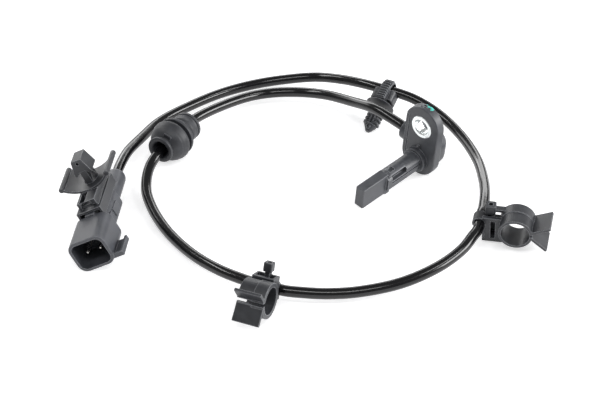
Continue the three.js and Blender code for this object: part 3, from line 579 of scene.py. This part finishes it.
ribs = []
for i in range(STRAP_RIBS):
    rib = block((-0.35, -1.9, STRAP_RADIUS - 0.3), (0.35, 1.9, STRAP_RADIUS + 0.8), edge=0.15)
    rib.transform(Matrix.Rotation(math.radians(FIRST_RIB_ANGLE + RIB_STEP_ANGLE * i), 4, "Y"))
    ribs.append(rib)
run_ribs = [
    block((-5.6, -1.9, DISC_TOP + 1.6 + RUN_RIB_STEP * i),
          (-4, 1.9, DISC_TOP + 2.2 + RUN_RIB_STEP * i), edge=0.15)
    for i in range(RUN_RIBS)
]
fins = [
    block((-2.3, -3.9, STUD_TOP - 2.1 - FIN_STEP * i), (2.3, 3.9, STUD_TOP - 1.2 - FIN_STEP * i),
          corner=1.5, along=2, edge=0.15, bends=2)
    for i in range(FINS)
]
end_gaps = [
    as_shape(moulding("end_gap", [
        rod((0, y, 0), (0, y + 2, 0), STRAP_RADIUS - 0.6),
    ], [
        block((-5, y - 1, -6), (5, y + 3, -1.4)),
    ]))
    for y in (-3.4, 1.4)
]
fir_tree = moulding("fir_tree", [
    rod((0, -2.6, 0), (0, 2.6, 0), STRAP_RADIUS, edge=0.3),
    *ribs,
    block((-3.9, -5.7, DISC_TOP + 1.4), (3.9, 5.7, -1.4), corner=2.4, along=2, edge=0.5),
    block((-4.9, -2.3, DISC_TOP + 1.2), (-3.5, 2.3, 0), edge=0.2),
    *run_ribs,
    rod((0, 0, DISC_TOP - 0.7), (0, 0, DISC_TOP + 1.1), 7, 4.4, edge=0.2),
    rod((0, 0, STUD_TOP - 1), (0, 0, DISC_TOP + 2), 2.3, sides=32),
    block((-2.3, -1.15, STUD_FOOT + 1.7), (2.3, 1.15, STUD_TOP + 1)),
    *fins,
    block((-1.8, -2.7, STUD_FOOT + 2.9), (1.8, 2.7, STUD_TOP - 0.5), corner=1, along=2, bends=3),
    rod((0, 0, STUD_FOOT), (0, 0, STUD_FOOT + 3.4), 1.1, 3.2, edge=0.25, sides=32),
], [
    rod((0, 0, DISC_TOP - 1.9), (0, 0, DISC_TOP - 0.3), 6.6, 3.6),
    block((1.4, -0.6, STUD_FOOT + 3.4), (9, 0.6, STUD_TOP - 0.6)),
    block((-9, -0.6, STUD_FOOT + 3.4), (-1.4, 0.6, STUD_TOP - 0.6)),
    block((-3.9, -0.6, STUD_FOOT + 1), (-1.4, 0.6, STUD_FOOT + 2.6)),
    block((-5.6, -3.1, DISC_TOP + 1.1), (-3.3, -2.5, -0.8)),
    block((-5.6, 2.5, DISC_TOP + 1.1), (-3.3, 3.1, -0.8)),
    *end_gaps,
    rod((0, -4, 0), (0, 4, 0), LEAD_RADIUS + LEAD_PLAY),
])
finished(fir_tree, FIR_CLIP, black_nylon, ["fir_tree_clip"])

# Connector: glass-filled polyester, grey-black and satin. A round-cornered shroud with the socket,
# a stepped body, a tail moulded over the lead, a rail for the mounting clip and a latch guard.
CONNECTOR = placed((-47.5, -137.4, 9.2), 0.3, -26.9, 39)
SHROUD_LENGTH = 18.5
SHROUD_HALF_WIDTH = 8.55
SHROUD_HALF_HEIGHT = 7.45
SHROUD_WALL = 1.3
SOCKET_DEPTH = 15
BODY_END = 40.5
TAIL_END = 60

polyester = moulded_plastic("glass_filled_polyester", "#404247", "#4e5056", 0.4, 0.5)
connector = moulding("connector", [
    block((-SHROUD_HALF_WIDTH, 0, -SHROUD_HALF_HEIGHT),
          (SHROUD_HALF_WIDTH, SHROUD_LENGTH, SHROUD_HALF_HEIGHT), corner=4.2, edge=0.4, bends=10),
    block((-5.3, SHROUD_LENGTH - 1, -5.1), (5.3, BODY_END, 5.1), corner=2.6, edge=0.5),
    block((4.3, 18.3, -2.5), (6.2, 25.1, 2.6), edge=0.25),
    block((4.3, 27.8, -2.5), (5.92, 34.6, 1.8), edge=0.25),
    turned([
        (0, BODY_END - 1), (4.6, BODY_END - 1), (4.6, 57.2), (4.45, 58.1), (4.05, 59.0),
        (3.4, 59.7), (2.6, TAIL_END), (0, TAIL_END),
    ], closed=False),
    # Rail for the mounting clip
    block((-2.2, 17.5, 0), (2.2, 44, 8.3), edge=0.25),
    # Latch guard
    block((6.1, 0.5, -6.1), (12.75, 12, -4.9), edge=0.25),
    block((11.55, 0.5, -6.1), (12.75, 12, -3.7), edge=0.25),
    block((7.1, 0.5, -6.1), (12.75, 1.7, -3.7), edge=0.25),
], [
    block((SHROUD_WALL - SHROUD_HALF_WIDTH, -1, SHROUD_WALL - SHROUD_HALF_HEIGHT),
          (SHROUD_HALF_WIDTH - SHROUD_WALL, SOCKET_DEPTH, SHROUD_HALF_HEIGHT - SHROUD_WALL),
          corner=2.9),
    rod((0, TAIL_END - 3, 0), (0, TAIL_END + 1, 0), LEAD_RADIUS + LEAD_PLAY),
])
finished(connector, CONNECTOR, polyester, ["connector_body"])

# Contact pins: two round brass pins, turned to a blunt point and bright tinned. They are moulded
# into the bottom of the socket.
PIN_RADIUS = 0.9
PIN_SPACING = 6.3

tin, tin_tree, tin_shader = new_material("tinned_brass", {
    "Metallic": 1.0, "Base Color": linear("#e6e3dc"),
})
tin_place = add_node(tin_tree, "ShaderNodeTexCoord", {}).outputs["Object"]
# Dull streaks about a millimetre long, where the plating has been wiped
wiped = add_node(
    tin_tree, "ShaderNodeTexNoise", {"Scale": 1 / 0.001, "Detail": 3.0}, {"Vector": tin_place}
).outputs["Fac"]
plated = add_node(
    tin_tree, "ShaderNodeMapRange",
    {"From Min": 0.3, "From Max": 0.7, "To Min": 0.15, "To Max": 0.36},
    {"Value": wiped},
)
tin_tree.links.new(plated.outputs["Result"], tin_shader.inputs["Roughness"])
for side, hand in ((-1, "left"), (1, "right")):
    pin = turned([
        (0, 4), (0.3, 4.05), (0.5, 4.25), (PIN_RADIUS, 5.3), (PIN_RADIUS, 17.3), (0, 17.3),
    ], steps=32, closed=False)
    bmesh.ops.translate(pin, vec=(side * PIN_SPACING / 2, 0, -1), verts=pin.verts)
    made = as_object(pin, f"pin_{hand}")
    finished(made, CONNECTOR, tin, [f"contact_pin_{hand}"], crease=50)

# Mounting clip: black nylon, slid onto the connector's rail. A channel, a bowed spring leaf with
# beaded ends, and a barbed anchor on a post that snaps into a hole of the bracket.
WING_MIDDLE = 12.9
WING_REACH = 11.2
WING_BOW = 16.45
WING_THICKNESS = 1.1
WING_FRONT = 30
WING_BACK = 47
BEAD_RADIUS = 1.25
ANCHOR_TOP = 26.1
ANCHOR_MIDDLE = 38.5
ANCHOR_OUTLINE = (
    (-2.4, ANCHOR_TOP), (-4.3, 19.1), (-3.2, 18.2), (-1.6, 20.1),
    (1.6, 20.1), (3.2, 18.2), (4.3, 19.1), (2.4, ANCHOR_TOP),
)
PEDESTAL_OUTLINE = (
    (-5.1, 9.1), (5.1, 9.1), (4.3, 10.8), (4.3, WING_MIDDLE), (-4.3, WING_MIDDLE), (-4.3, 10.8),
)


def plate(corners, front, depth, edge=0.0):
    """A plate drawn by its corners in x and z that runs back along y, its rims rounded by edge."""
    bm = bmesh.new()
    face = bm.faces.new([bm.verts.new((x, front, z)) for x, z in corners])
    made = bmesh.ops.extrude_face_region(bm, geom=[face])["geom"]
    moved = [v for v in made if isinstance(v, bmesh.types.BMVert)]
    bmesh.ops.translate(bm, vec=(0, depth, 0), verts=moved)
    bmesh.ops.recalc_face_normals(bm, faces=bm.faces)
    if edge:
        round_off(bm, [e for e in bm.edges if e.calc_face_angle(0) > math.radians(20)], edge, 2)
    return bm


def bow(radius, angles):
    """Points of an arc about the middle of the leaf's bow."""
    centre = WING_MIDDLE + WING_BOW
    return [(math.sin(a) * radius, centre - math.cos(a) * radius) for a in angles]


reach = math.asin(WING_REACH / WING_BOW)
swing = [reach * (i / 12 - 1) for i in range(25)]
leaf = bow(WING_BOW + WING_THICKNESS / 2, swing) + bow(WING_BOW - WING_THICKNESS / 2, swing[::-1])
bead_height = WING_MIDDLE + WING_BOW * (1 - math.cos(reach))
beads = [
    rod((x, WING_FRONT, bead_height), (x, WING_BACK, bead_height), BEAD_RADIUS, edge=0.4, sides=24)
    for x in (-WING_REACH, WING_REACH)
]
ramp = block((-18, -6, -6), (18, 6, 6))
ramp.transform(Matrix.Translation((0, 15.4, 18.1)) @ Matrix.Rotation(math.radians(-55), 4, "X"))
pedestal = as_shape(moulding("pedestal", [
    plate(PEDESTAL_OUTLINE, 21.4, 21, 0.15),
], [
    # Ramp, and the window with its sides
    ramp,
    plate([(-2.2, 12.7), (0, 10.1), (2.2, 12.7)], 18, 11.55),
    block((-3.1, 18, 9.62), (3.9, 23, 10.5)),
    block((-2.7, 18, 10.4), (2.1, 33, 12.2)),
    block((-3.1, 21.5, 10.2), (-0.5, 29.5, 14)),
]))
channel = as_shape(moulding("channel", [
    block((-5.8, 19, 4.6), (5.8, 45, 9.6), edge=0.2),
], [
    block((-4.8, 18, 0), (4.8, 46, 8.6)),
]))
mounting_clip = moulding("mounting_clip", [
    channel,
    pedestal,
    plate(leaf, WING_FRONT, WING_BACK - WING_FRONT, 0.2),
    *beads,
    block((-1.6, 34.7, 12), (1.6, 42.3, 25)),
    rod((0, ANCHOR_MIDDLE, 13), (0, ANCHOR_MIDDLE, 17.3), 4, 1.6),
    plate(ANCHOR_OUTLINE, 34.3, 8.4, 0.3),
], [
    rod((0, 30, 24.3), (0, 38, 24.3), 0.7, sides=24),
])
finished(mounting_clip, CONNECTOR, black_nylon, ["connector_clip"])

# Lead: two cores in a smooth, glossy polyurethane jacket 4.8 mm across, about 0.71 m long. It is
# moulded into the head and the connector, and threads the grommet and the clips between them.
LEAD_DIAMETER = 0.0048
LEAD_ROUTE = [
    (-0.0095, 0.0201, 0.0159), (-0.0141, 0.0201, 0.0167), (-0.0323, 0.0217, 0.0172),
    (-0.0492, 0.0242, 0.0132), (-0.0673, 0.0246, 0.0094), (-0.0818, 0.0200, 0.0068),
    (-0.0916, 0.0103, 0.0062), (-0.0956, -0.0041, 0.0074), (-0.0951, -0.0331, 0.0097),
    (-0.0924, -0.0427, 0.0097), (-0.0896, -0.0523, 0.0097), (-0.0855, -0.0681, 0.0076),
    (-0.0827, -0.0739, 0.0062), (-0.0782, -0.0796, 0.0048), (-0.0723, -0.0849, 0.0036),
    (-0.0648, -0.0894, 0.0029), (-0.0541, -0.0944, 0.0026), (-0.0399, -0.0992, 0.0026),
    (-0.0218, -0.1027, 0.0032), (-0.0060, -0.1033, 0.0042), (0.0060, -0.1016, 0.0048),
    (0.0125, -0.1000, 0.0051), (0.0156, -0.0988, 0.0052), (0.0240, -0.0956, 0.0052),
    (0.0292, -0.0920, 0.0051), (0.0371, -0.0849, 0.0047), (0.0455, -0.0749, 0.0046),
    (0.0550, -0.0593, 0.0056), (0.0601, -0.0420, 0.0072), (0.0605, -0.0270, 0.0085),
    (0.0583, -0.0175, 0.0092), (0.0565, -0.0116, 0.0094), (0.0519, -0.0040, 0.0104),
    (0.0491, 0.0010, 0.0102), (0.0426, 0.0103, 0.0096), (0.0334, 0.0209, 0.0082),
    (0.0184, 0.0346, 0.0066), (-0.0009, 0.0459, 0.0064), (-0.0196, 0.0510, 0.0082),
    (-0.0324, 0.0491, 0.0111), (-0.0414, 0.0453, 0.0128), (-0.0472, 0.0437, 0.0128),
    (-0.0582, 0.0422, 0.0118), (-0.0710, 0.0412, 0.0094), (-0.0850, 0.0376, 0.0066),
    (-0.0965, 0.0283, 0.0046), (-0.1055, 0.0151, 0.0036), (-0.1111, -0.0013, 0.0034),
    (-0.1125, -0.0212, 0.0040), (-0.1104, -0.0424, 0.0054), (-0.1034, -0.0605, 0.0072),
    (-0.0970, -0.0741, 0.0088), (-0.0890, -0.0861, 0.0095), (-0.0836, -0.0929, 0.0095),
]

lead_curve = bpy.data.curves.new("lead", "CURVE")
lead_curve.dimensions = "3D"
lead_curve.bevel_depth = LEAD_DIAMETER / 2
lead_curve.bevel_resolution = 8
lead_curve.resolution_u = 8
lead_curve.use_fill_caps = True
line = lead_curve.splines.new("BEZIER")
line.bezier_points.add(len(LEAD_ROUTE) - 1)
# Each handle follows the slope of the route through its neighbours, eased by their distance
route = [Vector(p) for p in LEAD_ROUTE]
route = [2 * route[0] - route[1], *route, 2 * route[-1] - route[-2]]
for point, before, here, after in zip(line.bezier_points, route, route[1:], route[2:]):
    come, go = (here - before).length ** 0.5, (after - here).length ** 0.5
    slope = (here - before) / come - (after - before) / (come + go) + (after - here) / go
    point.co = here
    point.handle_left_type = point.handle_right_type = "FREE"
    point.handle_left = here - slope * come / 3
    point.handle_right = here + slope * go / 3
lead = bpy.data.objects.new("lead", lead_curve)
scene.collection.objects.link(lead)

jacket, jacket_tree, jacket_shader = new_material("polyurethane_jacket", {
    "Base Color": linear("#0b0b0d"), "Roughness": 0.16, "IOR": 1.52,
})
jacket_place = add_node(jacket_tree, "ShaderNodeTexCoord", {}).outputs["Object"]
# The twisted cores press through the jacket as slow waves, about 6 mm long
waves = add_node(
    jacket_tree, "ShaderNodeTexNoise", {"Scale": 1 / 0.006, "Detail": 2.0}, {"Vector": jacket_place}
).outputs["Fac"]
ripple = add_node(
    jacket_tree, "ShaderNodeBump", {"Strength": 0.2, "Distance": 0.0003}, {"Height": waves}
)
jacket_tree.links.new(ripple.outputs["Normal"], jacket_shader.inputs["Normal"])
lead_curve.materials.append(jacket)
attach(lead, "root")
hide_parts("cable")

# Studio: a white sweep with low, wide soft lights at the back and both sides, and three narrow
# strips above, so that black gloss shows bright lines. The sweep keeps only faint contact shadows.
SWEEP_SIZE = 3.0
SWEEP_LIFT = 0.55
ROOM_LIGHT = 0.26
# Name, azimuth, elevation, distance, width, height and power
LIGHTS = (
    ("back_light", -140, 22, 1.3, 1.3, 0.28, 4.8),
    ("left_light", -98, 20, 1.2, 0.9, 0.45, 3.3),
    ("right_light", 130, 22, 1.2, 0.9, 0.45, 13.0),
    ("upper_left_strip", -62, 46, 1.3, 0.6, 0.12, 2.4),
    ("upper_front_strip", 36, 60, 1.3, 1.0, 0.18, 5.0),
    ("upper_right_strip", 128, 52, 1.3, 0.7, 0.12, 2.6),
)

sweep_bm = bmesh.new()
bmesh.ops.create_grid(sweep_bm, x_segments=1, y_segments=1, size=SWEEP_SIZE)
sweep = as_object(sweep_bm, "sweep")
paper, paper_tree, paper_shader = new_material("white_paper_sweep", {
    "Base Color": (0.8, 0.8, 0.81, 1), "Roughness": 0.9, "Specular IOR Level": 0.0,
})
seen = add_node(paper_tree, "ShaderNodeLightPath", {})
glow = add_node(
    paper_tree, "ShaderNodeEmission", {"Color": (1, 1, 1, 1), "Strength": SWEEP_LIFT}
)
both = add_node(
    paper_tree, "ShaderNodeAddShader", {},
    {0: paper_shader.outputs["BSDF"], 1: glow.outputs["Emission"]},
)
bright = add_node(
    paper_tree, "ShaderNodeMath", {"operation": "MAXIMUM"},
    {0: seen.outputs["Is Camera Ray"], 1: seen.outputs["Is Glossy Ray"]},
)
choice = add_node(
    paper_tree, "ShaderNodeMixShader", {},
    {0: bright.outputs["Value"], 1: paper_shader.outputs["BSDF"], 2: both.outputs["Shader"]},
)
paper_output = paper_tree.nodes["Material Output"]
paper_tree.links.new(choice.outputs["Shader"], paper_output.inputs["Surface"])
sweep.data.materials.append(paper)

world = bpy.data.worlds.new("studio")
scene.world = world
world.use_nodes = True
world_tree = world.node_tree
room = world_tree.nodes["Background"]
room.inputs["Color"].default_value = (1, 1, 1, 1)
room.inputs["Strength"].default_value = ROOM_LIGHT
white = add_node(
    world_tree, "ShaderNodeBackground", {"Color": (1, 1, 1, 1), "Strength": 1.0}
)
looked_at = add_node(world_tree, "ShaderNodeLightPath", {})
sky = add_node(
    world_tree, "ShaderNodeMixShader", {},
    {
        0: looked_at.outputs["Is Camera Ray"],
        1: room.outputs["Background"],
        2: white.outputs["Background"],
    },
)
world_tree.links.new(sky.outputs["Shader"], world_tree.nodes["World Output"].inputs["Surface"])

for name, azimuth, elevation, distance, width, height, power in LIGHTS:
    a, e = math.radians(azimuth), math.radians(elevation)
    side = Vector((math.sin(a) * math.cos(e), -math.cos(a) * math.cos(e), math.sin(e)))
    lamp = bpy.data.lights.new(name, "AREA")
    lamp.shape = "RECTANGLE"
    lamp.size = width
    lamp.size_y = height
    lamp.energy = power
    light = bpy.data.objects.new(name, lamp)
    light.location = CAMERA_AIM + side * distance
    light.rotation_mode = "QUATERNION"
    light.rotation_quaternion = (-side).to_track_quat("-Z", "Y")
    scene.collection.objects.link(light)
